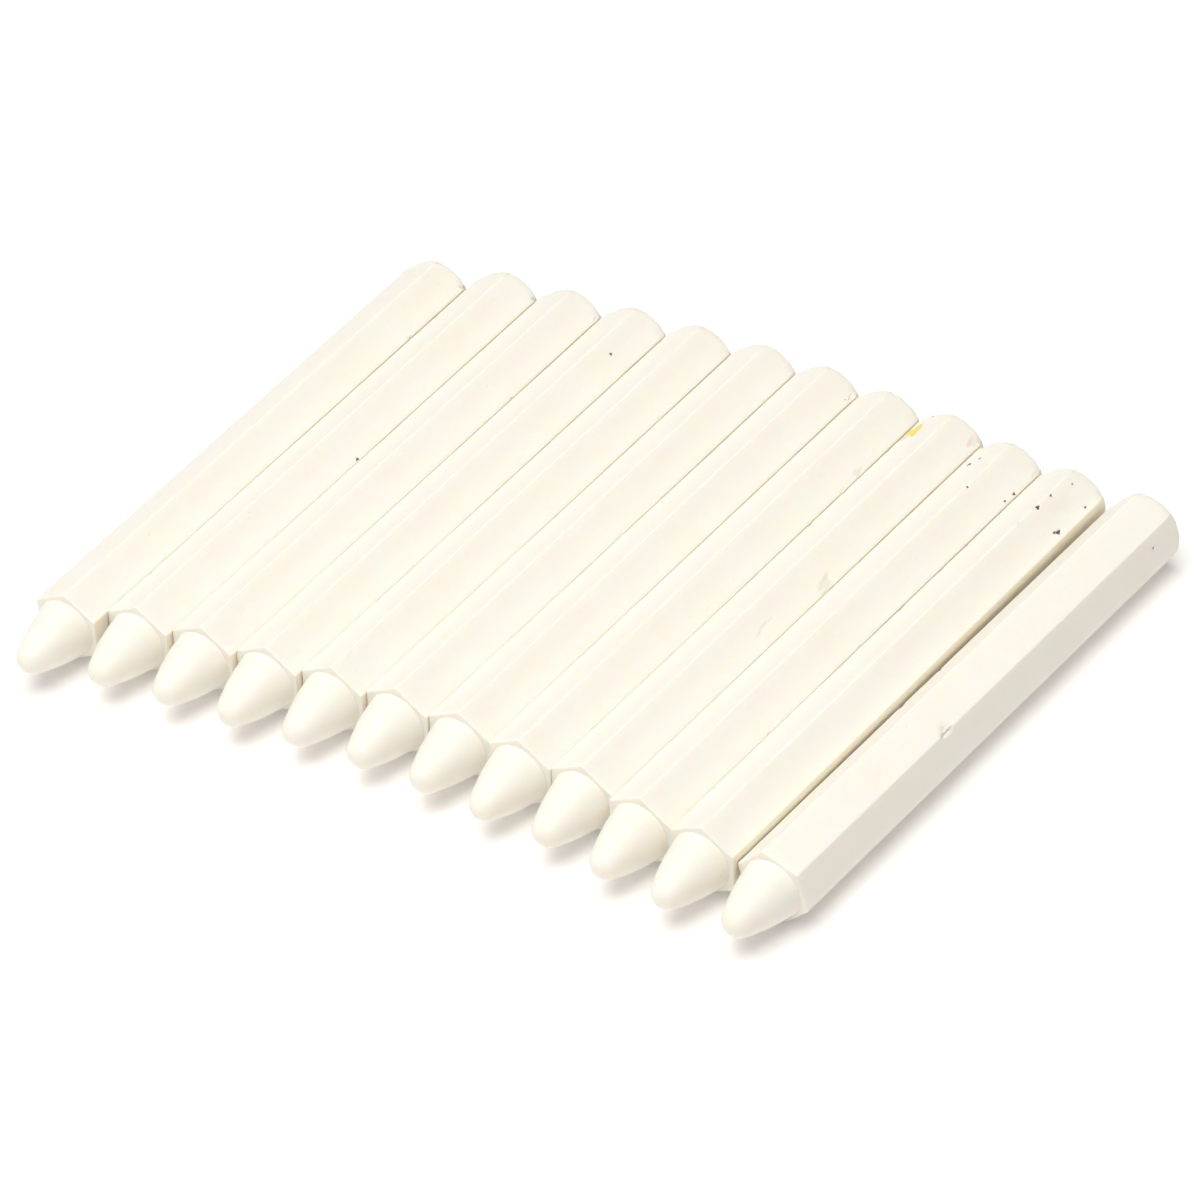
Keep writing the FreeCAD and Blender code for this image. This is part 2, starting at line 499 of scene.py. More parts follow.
class Bench:
    """A mesh on the bench, with picking by place and the operators that shape it."""

    def __init__(self, piece: bpy.types.Object) -> None:
        """Makes the piece the only selected one.

        Args:
            piece: The mesh object to work on.
        """
        self.piece = piece
        bpy.ops.object.select_all(action="DESELECT")
        piece.select_set(True)
        bpy.context.view_layer.objects.active = piece

    def open(self) -> None:
        """Enters edit mode, picking by vertex."""
        bpy.ops.object.mode_set(mode="EDIT")
        bpy.ops.mesh.select_mode(type="VERT")

    def close(self) -> None:
        """Leaves edit mode."""
        bpy.ops.object.mode_set(mode="OBJECT")

    def _unpicked(self, kind: str) -> bmesh.types.BMesh:
        """Deselects everything and returns the mesh that is open.

        Args:
            kind: What is picked next: VERT, EDGE or FACE.
        """
        bpy.ops.mesh.select_mode(type=kind)
        bpy.ops.mesh.select_all(action="DESELECT")
        return bmesh.from_edit_mesh(self.piece.data)

    def pick_vertices(self, wanted: Callable[[Vector], bool]) -> None:
        """Selects just the vertices at wanted places.

        Args:
            wanted: Says whether a place, in metres, is wanted.
        """
        mesh = self._unpicked("VERT")
        for vertex in mesh.verts:
            if wanted(vertex.co):
                vertex.select_set(True)
        mesh.select_flush(True)
        bmesh.update_edit_mesh(self.piece.data)

    def pick_edges(self, wanted: Callable[[Vector, Vector], bool]) -> None:
        """Selects just the wanted edges.

        Args:
            wanted: Says whether an edge with these two ends, in metres, is wanted.
        """
        mesh = self._unpicked("EDGE")
        for edge in mesh.edges:
            if wanted(edge.verts[0].co, edge.verts[1].co):
                edge.select_set(True)
        bmesh.update_edit_mesh(self.piece.data)

    def pick_faces(self, wanted: Callable[[Vector], bool]) -> None:
        """Selects just the faces whose middles are at wanted places.

        Args:
            wanted: Says whether a place, in metres, is wanted.
        """
        mesh = self._unpicked("FACE")
        for face in mesh.faces:
            if wanted(face.calc_center_median()):
                face.select_set(True)
        bmesh.update_edit_mesh(self.piece.data)

    @staticmethod
    def resize(scale: float) -> None:
        """Scales what is picked about the stick's axis.

        Args:
            scale: Scale across the axis.
        """
        bpy.ops.transform.resize(value=(scale, 1.0, scale), center_override=(0.0, 0.0, 0.0))

    def next_ring(self, step: float, scale: float) -> None:
        """Extrudes the picked ring along Y and then scales it about the stick's axis.

        Args:
            step: Travel along Y, in metres.
            scale: Scale across the axis.
        """
        bpy.ops.mesh.extrude_region_move(TRANSFORM_OT_translate={"value": (0.0, step, 0.0)})
        self.resize(scale)

    def apply(self, kind: str, **settings: object) -> None:
        """Adds a modifier with these settings and applies it.

        Args:
            kind: The modifier's type.
            **settings: Its settings.
        """
        modifier = self.piece.modifiers.new(kind.lower(), kind)
        for name, value in settings.items():
            setattr(modifier, name, value)
        bpy.ops.object.modifier_apply(modifier=modifier.name)


@dataclass(frozen=True)
class StickMould:
    """The one mould that all the sticks come from, in millimetres, as in the CAD part.

    Attributes:
        across_flats: Hexagon, flat to flat.
        stick_length: Tip to tail.
        tip_length: Shoulder to the end of the tip.
        nose_radius: Rounding at the end of the tip.
        flank_radius: Radius of the tip's bulging flank.
        shoulder_ledge: Ledge between a flat and the foot of the tip.
        long_edge_radius: Softening of the long edges.
        shoulder_edge_radius: Softening of the shoulder's rim.
        tail_edge_radius: Softening of the tail's rim.
        flat_cuts: Cuts across each flat.
        shaft_cuts: Cuts along the shaft.
        rim_steps: Steps round a softened edge.
        flank_steps: Rings on the tip's flank.
        nose_steps: Rings on its nose.
        tail_rings: Scale of each ring that closes the tail, from the one before it.
    """

    across_flats: float = 12.0
    stick_length: float = 120.0
    tip_length: float = 11.7
    nose_radius: float = 2.9
    flank_radius: float = 42.0
    shoulder_ledge: float = 0.65
    long_edge_radius: float = 0.35
    shoulder_edge_radius: float = 0.25
    tail_edge_radius: float = 0.8
    flat_cuts: int = 13
    shaft_cuts: int = 170
    rim_steps: int = 4
    flank_steps: int = 16
    nose_steps: int = 9
    tail_rings: tuple[float, ...] = (0.93, 0.90, 0.86, 0.80, 0.70, 0.50)

    @property
    def shaft_length(self) -> float:
        """Returns the shaft's length, shoulder to tail."""
        return self.stick_length - self.tip_length

    @property
    def apothem(self) -> float:
        """Returns the distance from the axis to a flat."""
        return self.across_flats / 2

    @property
    def foot_radius(self) -> float:
        """Returns the radius of the tip where it stands on the shoulder."""
        return self.apothem - self.shoulder_ledge

    def tip_profile(self) -> list[tuple[float, float]]:
        """Returns the tip's outline past its foot: pairs of radius and distance from the shoulder.

        The flank is an arc through the foot that runs smoothly into the nose's arc.
        """
        foot = Vector((self.foot_radius, 0.0))
        nose = Vector((0.0, self.tip_length - self.nose_radius))
        gap = nose - foot
        outer = self.flank_radius
        inner = self.flank_radius - self.nose_radius
        reach = (outer**2 - inner**2 + gap.length_squared) / (2 * gap.length)
        lift = math.sqrt(outer**2 - reach**2)
        inward = Vector((-gap.y, gap.x)).normalized()
        inward = inward if inward.x < 0 else -inward
        middle = foot + gap.normalized() * reach + inward * lift
        start = math.atan2(-middle.y, foot.x - middle.x)
        join = math.atan2(nose.y - middle.y, nose.x - middle.x)
        points = []
        for step in range(1, self.flank_steps + 1):
            angle = start + (join - start) * step / self.flank_steps
            points.append((middle.x + outer * math.cos(angle), middle.y + outer * math.sin(angle)))
        for step in range(1, self.nose_steps):
            angle = join + (math.pi / 2 - join) * step / self.nose_steps
            radius = self.nose_radius * math.cos(angle)
            points.append((radius, nose.y + self.nose_radius * math.sin(angle)))
        return points

    def cast(self) -> bpy.types.Object:
        """Returns the master stick, a closed mesh in its own frame."""
        bench = self._outline()
        self._shaft(bench)
        self._tail(bench)
        self._shoulder_and_tip(bench)
        bpy.ops.mesh.select_all(action="SELECT")
        bpy.ops.mesh.normals_make_consistent(inside=False)
        bench.close()
        return bench.piece

    def _outline(self) -> Bench:
        """Starts the stick with its rounded hexagon outline, and returns its bench, open."""
        bpy.ops.object.select_all(action="DESELECT")
        bpy.ops.mesh.primitive_circle_add(
            vertices=HEXAGON_SIDES,
            radius=self.apothem / math.cos(HALF_SIDE) * MM,
            fill_type="NGON",
            rotation=(math.pi / 2, 0.0, 0.0),
        )
        bpy.ops.object.transform_apply(location=True, rotation=True, scale=True)
        bench = Bench(bpy.context.object)
        bench.piece.name = "stick_master"
        bench.open()
        bpy.ops.mesh.select_all(action="SELECT")
        bpy.ops.mesh.bevel(
            offset_type="OFFSET",
            offset=self.long_edge_radius * math.tan(HALF_SIDE) * MM,
            segments=self.rim_steps,
            profile=0.5,
            affect="VERTICES",
        )
        bpy.ops.mesh.select_mode(type="FACE")
        bpy.ops.mesh.select_all(action="SELECT")
        bpy.ops.mesh.delete(type="ONLY_FACE")
        flat = self.across_flats / 4 * MM
        bench.pick_edges(lambda a, b: (a - b).length > flat)
        bpy.ops.mesh.subdivide(number_cuts=self.flat_cuts)
        return bench

    def _shaft(self, bench: Bench) -> None:
        """Extrudes the shaft between its two rims and cuts it into rings.

        Args:
            bench: The bench with the outline.
        """
        start = self.shoulder_edge_radius * MM
        run = (self.shaft_length - self.tail_edge_radius) * MM - start
        bpy.ops.mesh.select_mode(type="VERT")
        bpy.ops.mesh.select_all(action="SELECT")
        bpy.ops.transform.translate(value=(0.0, start, 0.0))
        bench.next_ring(run, 1.0)
        bench.pick_edges(lambda a, b: abs(a.y - b.y) > run / 2)
        bpy.ops.mesh.subdivide(number_cuts=self.shaft_cuts)

    def _tail(self, bench: Bench) -> None:
        """Rounds the tail's rim and closes the tail with rings and a pole.

        Args:
            bench: The bench with the shaft.
        """
        end = (self.shaft_length - self.tail_edge_radius) * MM
        bench.pick_vertices(lambda place: place.y > end - ON_RING)
        self._round_rim(bench, self.tail_edge_radius, self.rim_steps, 1)
        for scale in self.tail_rings:
            bench.next_ring(0.0, scale)
        bpy.ops.mesh.merge(type="CENTER")

    def _shoulder_and_tip(self, bench: Bench) -> None:
        """Rounds the shoulder's rim, lays the ledge to the round foot, and draws out the tip.

        Args:
            bench: The bench with the shaft.
        """
        start = self.shoulder_edge_radius * MM
        bench.pick_vertices(lambda place: place.y < start + ON_RING)
        self._round_rim(bench, self.shoulder_edge_radius, self.rim_steps - 1, -1)
        bench.next_ring(0.0, 1.0)
        bpy.ops.transform.tosphere(value=1.0)
        bench.resize(self.foot_radius * MM / self._ring_radius(bench))
        radius = self.foot_radius
        travelled = 0.0
        for new_radius, distance in self.tip_profile():
            bench.next_ring((travelled - distance) * MM, new_radius / radius)
            radius = new_radius
            travelled = distance
        bench.next_ring((travelled - self.tip_length) * MM, 1.0)
        bpy.ops.mesh.merge(type="CENTER")

    def _round_rim(self, bench: Bench, radius: float, steps: int, way: int) -> None:
        """Draws out a rounded rim, ring by ring.

        Args:
            bench: The bench, with the shaft's last ring picked.
            radius: The rim's radius, in millimetres.
            steps: How many rings the rim takes.
            way: 1 towards the tail, -1 towards the tip.
        """
        inset = 0.0
        rise = 0.0
        for step in range(1, steps + 1):
            angle = math.pi / 2 * step / steps
            new_inset = radius * (1 - math.cos(angle))
            new_rise = radius * math.sin(angle)
            scale = (self.apothem - new_inset) / (self.apothem - inset)
            bench.next_ring(way * (new_rise - rise) * MM, scale)
            inset = new_inset
            rise = new_rise

    @staticmethod
    def _ring_radius(bench: Bench) -> float:
        """Returns the mean radius of the picked ring, in metres."""
        mesh = bmesh.from_edit_mesh(bench.piece.data)
        radii = [math.hypot(v.co.x, v.co.z) for v in mesh.verts if v.select]
        return sum(radii) / len(radii)


@dataclass(frozen=True)
class Seat:
    """Where a CAD stick lies: read from its own tail face and left flat.

    Attributes:
        node: The CAD node's name.
        mould: The mould, for the length to check against.
    """

    node: str
    mould: StickMould

    TOLERANCE = 0.05 * MM
    FACES_BACK = 0.95  # the least that the tail's normal points along +Y
    FACES_LEFT = 0.90  # the least that the left flat's normal points along -X

    def matrix(self) -> Matrix:
        """Returns the transform from the stick's own frame to the row.

        Raises:
            ValueError: If the CAD stick isn't as long as the mould's.
        """
        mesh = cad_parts[self.node].data
        along = self._largest(mesh, lambda normal: normal.y > self.FACES_BACK)
        left = self._largest(mesh, lambda normal: -normal.x > self.FACES_LEFT)
        across = (-left - along * (-left).dot(along)).normalized()
        up = across.cross(along)
        turn = Matrix((across, along, up))
        places = np.array([turn @ vertex.co for vertex in mesh.vertices])
        low = places.min(axis=0)
        high = places.max(axis=0)
        if abs(high[1] - low[1] - self.mould.stick_length * MM) > self.TOLERANCE:
            raise ValueError(f"{self.node} isn't as long as the mould's stick")
        middle = (low + high) / 2
        shoulder = high[1] - self.mould.shaft_length * MM
        origin = turn.transposed() @ Vector((middle[0], shoulder, middle[2]))
        return Matrix.Translation(origin) @ turn.transposed().to_4x4()

    @staticmethod
    def _largest(mesh: bpy.types.Mesh, wanted: Callable[[Vector], bool]) -> Vector:
        """Returns the normal of the mesh's largest triangle that faces a wanted way.

        Args:
            mesh: The CAD node's mesh.
            wanted: Says whether a normal is wanted.
        """
        faces = [face for face in mesh.polygons if wanted(face.normal)]
        return max(faces, key=lambda face: face.area).normal.copy()


@dataclass(frozen=True)
class Scatter:
    """Marks of one kind, scattered over a stick, in millimetres.

    A pair is the least and the most of a random draw; a single number is always the same.

    Attributes:
        kind: What sort of blemish they are.
        count: How many a stick has.
        facets: The flats that they are on.
        tail_gap: How far from the tail they stay.
        reach: Their furthest distance from a flat's midline, as a share of half its width.
        at_edges: Whether they are all at that distance.
        width: Their width.
        stretch: Their length, in widths.
        depth: How far their middles are pressed in.
        strength: How strongly they are coloured, 0 to 1.
    """

    kind: MarkKind
    count: int
    facets: tuple[Facet, ...]
    tail_gap: float
    reach: float
    at_edges: bool
    width: tuple[float, float] | float
    stretch: tuple[float, float] | float
    depth: tuple[float, float] | float
    strength: tuple[float, float] | float = 1.0

    SHOULDER_GAP = 2.0

    def marks(self, dice: random.Random, mould: StickMould) -> list[Mark]:
        """Returns one stick's marks of this kind.

        Args:
            dice: What the random draws come from.
            mould: The mould that gives the sizes.
        """
        side = mould.apothem * math.tan(HALF_SIDE)
        far = mould.shaft_length - self.tail_gap
        found = []
        for _ in range(self.count):
            width = self._draw(dice, self.width)
            facet = dice.choice(self.facets)
            along = dice.uniform(self.SHOULDER_GAP, far)
            if self.at_edges:
                across = side * dice.choice((-self.reach, self.reach))
            else:
                across = side * dice.uniform(-self.reach, self.reach)
            length = width * self._draw(dice, self.stretch)
            depth = self._draw(dice, self.depth)
            strength = self._draw(dice, self.strength)
            found.append(Mark(self.kind, facet, along, across, length, width, depth, strength))
        return found

    @staticmethod
    def _draw(dice: random.Random, span: tuple[float, float] | float) -> float:
        """Returns a number from a pair's range, or the single number itself."""
        return dice.uniform(*span) if isinstance(span, tuple) else span


UPPER_FACETS = (Facet.UPPER_LEFT, Facet.UPPER_RIGHT)
EDGE_NICKS = Scatter(
    kind=MarkKind.CHIP,
    count=9,
    facets=UPPER_FACETS,
    tail_gap=1.0,
    reach=0.97,
    at_edges=True,
    width=(0.35, 0.8),
    stretch=(1.2, 3.2),
    depth=(0.05, 0.14),
)
SOFT_DENTS = Scatter(
    kind=MarkKind.DENT,
    count=6,
    facets=UPPER_FACETS,
    tail_gap=2.0,
    reach=0.8,
    at_edges=False,
    width=(0.8, 2.0),
    stretch=(1.0, 2.5),
    depth=(0.02, 0.05),
)
AIR_PITS = Scatter(
    kind=MarkKind.PINHOLE,
    count=8,
    facets=tuple(Facet),
    tail_gap=1.0,
    reach=0.9,
    at_edges=False,
    width=0.28,
    stretch=8 / 7,
    depth=(0.06, 0.12),
    strength=(0.1, 0.35),
)


@dataclass(frozen=True)
class Wear:
    """The small wear that every stick has besides its own marks, in millimetres.

    A band is a pair: how far before its line it begins, and how far it takes to come in.

    Attributes:
        scatters: The marks that are scattered, with the stick's number as the seed.
        warp: Depth of the casting's slow waviness.
        warp_size: Size of its waves.
        ripple: Depth of its fine unevenness.
        ripple_size: Size of that unevenness.
        tail_depth: How deep the tail's corners are worn away.
        tail_reach: How far from a corner that wear reaches.
        spared: How much less the flats that face a neighbour have lost.
        edge_band: Where a flat turns rubbed; its line is the long edge.
        rim_band: Where the shaft turns rubbed before the tail; its line is the tail.
        ledge_band: Where the wax turns rubbed round the shoulder; its line is the shoulder.
        flat_band: What counts as part of a flat; its line is the flat's plane.
        start_band: Where the flats that face a neighbour, with their painted shade, start; its line
            is the shoulder.
    """

    scatters: tuple[Scatter, ...] = (EDGE_NICKS, SOFT_DENTS, AIR_PITS)
    warp: float = 0.085
    warp_size: float = 11.0
    ripple: float = 0.022
    ripple_size: float = 1.7
    tail_depth: float = 0.60
    tail_reach: float = 2.0
    spared: float = 0.06
    edge_band: tuple[float, float] = (1.1, 0.8)
    rim_band: tuple[float, float] = (1.0, 0.8)
    ledge_band: tuple[float, float] = (0.7, 0.5)
    flat_band: tuple[float, float] = (0.30, 0.22)
    start_band: tuple[float, float] = (0.0, 0.3)

    def marks(self, number: int, mould: StickMould) -> list[Mark]:
        """Returns one stick's scattered marks.

        Args:
            number: The stick's number, which is the seed.
            mould: The mould that gives the sizes.
        """
        dice = random.Random(number)
        return [mark for scatter in self.scatters for mark in scatter.marks(dice, mould)]


def within(offset: np.ndarray, band: tuple[float, float]) -> np.ndarray:
    """Returns how far into a band each place is: 0 before it begins, 1 once it has come in.

    Args:
        offset: How far each place is past the band's line, in millimetres.
        band: How far before that line it begins, and how far it takes to come in.
    """
    before, fade = band
    return np.clip((offset + before) / fade, 0.0, 1.0)


@dataclass
class Stick:
    """One stick of the row.

    Attributes:
        number: Its number, from 1 at the row's first end.
        mould: The mould that it comes from.
        wear: The wear that all the sticks share in kind.
        own_marks: The marks that only this stick has.
        sheltered: The flats that face a neighbour, which get painted shade and lose less wax.
        piece: The finished piece, once it is built.
    """

    number: int
    mould: StickMould
    wear: Wear
    own_marks: tuple[Mark, ...] = ()
    sheltered: tuple[Facet, ...] = (Facet.LEFT_FLAT, Facet.RIGHT_FLAT)
    piece: bpy.types.Object | None = field(default=None, repr=False)

    REFINED = 0.62  # how far from a mark's middle the faces are cut finer, in its sizes
    REFINED_MARGIN = 0.45 * MM
    SMALL_SPOT = 0.75 * MM  # smaller spots than this are cut finer again
    SMALL_MARGIN = 0.1 * MM
    CREASE = math.radians(28.0)

    @property
    def node(self) -> str:
        """Returns the name of its CAD node, which is also its body."""
        return f"stick_{self.number:02d}"

    def build(self, master: bpy.types.Object, wax: bpy.types.Material) -> bpy.types.Object:
        """Copies the master, marks it, sets it in its seat and dresses it.

        Args:
            master: The master stick.
            wax: The wax material.

        Returns:
            The finished piece.
        """
        self.piece = master.copy()
        self.piece.data = master.data.copy()
        self.piece.name = f"wax_{self.node}"
        self.piece.data.name = self.piece.name
        bpy.context.scene.collection.objects.link(self.piece)
        marks = [*self.own_marks, *self.wear.marks(self.number, self.mould)]
        self._refine(marks)
        self._press(marks)
        self.piece.data.transform(Seat(self.node, self.mould).matrix())
        self._weather()
        self.piece.data.materials.clear()
        self.piece.data.materials.append(wax)
        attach(self.piece, self.node)
        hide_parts(self.node)
        return self.piece

    def _centre(self, mark: Mark) -> Vector:
        """Returns a mark's middle in the stick's own frame, in metres."""
        angle = math.radians(mark.facet.value)
        out = Vector((math.cos(angle), 0.0, math.sin(angle)))
        side = Vector((-math.sin(angle), 0.0, math.cos(angle)))
        flat = out * self.mould.apothem + side * mark.across
        return (flat + Vector((0.0, mark.along, 0.0))) * MM

    def _refine(self, marks: list[Mark]) -> None:
        """Cuts the faces near the marks finer, so that small marks have a shape.

        Args:
            marks: The stick's marks.
        """
        sizes = [max(mark.length, mark.width) * self.REFINED * MM for mark in marks]
        spots = [(self._centre(mark), size) for mark, size in zip(marks, sizes)]
        small = [(centre, size) for centre, size in spots if size < self.SMALL_SPOT]
        bench = Bench(self.piece)
        bench.open()
        for chosen, margin, cuts in (
            (spots, self.REFINED_MARGIN, 2),
            (small, self.SMALL_MARGIN, 1),
        ):
            bench.pick_faces(
                lambda place: any((place - centre).length < size + margin for centre, size in chosen)
            )
            bpy.ops.mesh.subdivide(number_cuts=cuts)
        bench.close()

    def _press(self, marks: list[Mark]) -> None:
        """Presses the marks into the wax and records where each kind colours it.

        Args:
            marks: The stick's marks.
        """
        mesh = self.piece.data
        places = np.empty(len(mesh.vertices) * 3)
        mesh.vertices.foreach_get("co", places)
        places = places.reshape(-1, 3) / MM
        depth = np.zeros(len(places))
        colour = {kind: np.zeros(len(places)) for kind in COLOURED_KINDS}
        for mark in marks:
            share = self._share(places, mark)
            depth = np.maximum(depth, share * mark.depth)
            if mark.kind in colour:
                colour[mark.kind] = np.maximum(colour[mark.kind], share * mark.strength)
        for kind, values in colour.items():
            self._write(kind.value, values)
        self._write("rubbed", self._rubbed(places))
        depth = np.maximum(depth, self._tail_wear(places))
        # The flats that face a neighbour: the mask for their painted shade and for how much less wax
        # they lose.
        sheltered = self._sheltered(places)
        self._write("sheltered", sheltered)
        self._move("marks", -depth)
        self._move("sheltered_flats", sheltered * self.wear.spared)

    def _move(self, name: str, amounts: np.ndarray) -> None:
        """Moves the surface along its normals.

        Args:
            name: The name of the vertex group that holds the amounts.
            amounts: How far each vertex moves outwards, in millimetres, all of one sign.
        """
        furthest = float(amounts[np.argmax(np.abs(amounts))])
        group = self.piece.vertex_groups.new(name=name)
        for index in np.flatnonzero(amounts):
            group.add([int(index)], float(amounts[index] / furthest), "REPLACE")
        settings = {"strength": furthest * MM, "mid_level": 0.0, "vertex_group": name}
        Bench(self.piece).apply("DISPLACE", **settings)

    def _share(self, places: np.ndarray, mark: Mark) -> np.ndarray:
        """Returns how much of a mark each place has: 1 in its middle, 0 outside it.

        Args:
            places: The places, in millimetres.
            mark: The mark.
        """
        offset = places - np.array(self._centre(mark)) / MM
        angle = math.radians(mark.facet.value)
        sideways = offset[:, 2] * math.cos(angle) - offset[:, 0] * math.sin(angle)
        inwards = offset[:, 0] * math.cos(angle) + offset[:, 2] * math.sin(angle)
        along = offset[:, 1] / (mark.length / 2)
        across = sideways / (mark.width / 2)
        turn = np.arctan2(across, along)
        coarse = 0.24 * np.sin(3 * turn + mark.along)
        fine = 0.16 * np.sin(5 * turn + 9 * mark.across)
        ragged = 1.0 + coarse + fine
        distance = np.hypot(np.hypot(along, across) / ragged, inwards / (mark.width / 2))
        inside = np.clip(1.0 - distance**2, 0.0, 1.0)
        return inside * inside * (3.0 - 2.0 * inside)

    def _rubbed(self, places: np.ndarray) -> np.ndarray:
        """Returns how rubbed each place is: 1 on a long edge or a rim, 0 on the flats.

        Args:
            places: The places, in millimetres.
        """
        angle = np.arctan2(places[:, 2], places[:, 0])
        turned = np.mod(angle + HALF_SIDE, 2 * HALF_SIDE) - HALF_SIDE
        radius = np.hypot(places[:, 0], places[:, 2])
        side = self.mould.apothem * math.tan(HALF_SIDE)
        edge = within(np.abs(radius * np.sin(turned)) - side, self.wear.edge_band)
        rim = within(places[:, 1] - self.mould.shaft_length, self.wear.rim_band)
        ledge = within(-np.abs(places[:, 1]), self.wear.ledge_band)
        outer = radius > self.mould.foot_radius * 0.98  # leaves the tip out
        return np.maximum(np.maximum(edge, rim), ledge) * outer

    def _tail_wear(self, places: np.ndarray) -> np.ndarray:
        """Returns how deep the tail's six corners are worn away, in millimetres.

        Args:
            places: The places, in millimetres.
        """
        corner = self.mould.apothem / math.cos(HALF_SIDE)
        nearest = np.full(len(places), np.inf)
        for side in range(HEXAGON_SIDES):
            angle = HALF_SIDE * (2 * side + 1)
            across = places[:, 0] - corner * math.cos(angle)
            up = places[:, 2] - corner * math.sin(angle)
            nearest = np.minimum(nearest, np.hypot(across, up))
        beside = np.clip(1.0 - nearest / self.wear.tail_reach, 0.0, 1.0)
        to_tail = self.mould.shaft_length - places[:, 1]
        behind = np.clip(1.0 - to_tail / self.wear.tail_reach, 0.0, 1.0)
        return self.wear.tail_depth * beside * behind * (2.0 - behind)

    def _sheltered(self, places: np.ndarray) -> np.ndarray:
        """Returns how much each place lies on the shaft's flats that face a neighbour, 1 there: the
        mask for their painted shade and their spared wear.

        Args:
            places: The places, in millimetres.
        """
        found = np.zeros(len(places))
        for facet in self.sheltered:
            angle = math.radians(facet.value)
            height = places[:, 0] * math.cos(angle) + places[:, 2] * math.sin(angle)
            found = np.maximum(found, within(height - self.mould.apothem, self.wear.flat_band))
        return found * within(places[:, 1], self.wear.start_band)

    def _write(self, name: str, values: np.ndarray) -> None:
        """Writes a vertex attribute.

        Args:
            name: The attribute's name.
            values: One value for each vertex.
        """
        attribute = self.piece.data.attributes.new(name, "FLOAT", "POINT")
        attribute.data.foreach_set("value", values.astype(np.float32))

    def _weather(self) -> None:
        """Gives the casting its slow waviness and fine unevenness, inwards only."""
        bench = Bench(self.piece)
        for name, size, deep in (
            ("slow_warp", self.wear.warp_size, self.wear.warp),
            ("fine_ripple", self.wear.ripple_size, self.wear.ripple),
        ):
            pattern = bpy.data.textures.get(name) or bpy.data.textures.new(name, "CLOUDS")
            pattern.noise_scale = size * MM
            pattern.noise_depth = 2
            bench.apply("DISPLACE", texture=pattern, strength=deep * MM, mid_level=1.0)
        bpy.ops.object.shade_smooth_by_angle(angle=self.CREASE)


@dataclass
class StickRow:
    """The whole row: twelve sticks from one mould, and the marks that tell them apart.

    Attributes:
        mould: The mould.
        wear: The wear that all the sticks share in kind.
        finish: The wax.
        marks: Each stick's own marks, by its number.
    """

    mould: StickMould = StickMould()
    wear: Wear = Wear()
    finish: IvoryWax = IvoryWax()
    marks: dict[int, tuple[Mark, ...]] = field(default_factory=dict)

    def build(self) -> list[bpy.types.Object]:
        """Builds all the sticks.

        Returns:
            The finished pieces, in order.
        """
        master = self.mould.cast()
        wax = self.finish.material()
        pieces = []
        for number in range(1, len(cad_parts) + 1):
            stick = Stick(number, self.mould, self.wear, self.marks.get(number, ()))
            if number == 1:
                stick.sheltered = (Facet.RIGHT_FLAT,)
            if number == len(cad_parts):
                stick.sheltered = (Facet.LEFT_FLAT,)
            piece = stick.build(master, wax)
            LOG.info("%s: %d vertices", piece.name, len(piece.data.vertices))
            pieces.append(piece)
        bpy.data.objects.remove(master)
        return pieces


@dataclass(frozen=True)
class Lamp:
    """One square soft lamp.

    Attributes:
        name: Its name.
        place: Where it hangs, from the middle of the row's foot, in metres.
        size: Its side, in metres.
        power: Its power, in watts.
        colour: The colour of its light.
    """

    name: str
    place: tuple[float, float, float]
    size: float
    power: float
    colour: tuple[float, float, float] = (1.0, 0.995, 0.965)

    def hang(self, middle: Vector) -> None:
        """Hangs the lamp, pointed at the row.

        Args:
            middle: The middle of the row's foot.
        """
        lamp = bpy.data.lights.new(self.name, "AREA")
        lamp.shape = "SQUARE"
        lamp.size = self.size
        lamp.energy = self.power
        lamp.color = self.colour
        holder = bpy.data.objects.new(self.name, lamp)
        bpy.context.scene.collection.objects.link(holder)
        holder.location = middle + Vector(self.place)
        holder.rotation_mode = "QUATERNION"
        holder.rotation_quaternion = (middle - holder.location).to_track_quat("-Z", "Y")


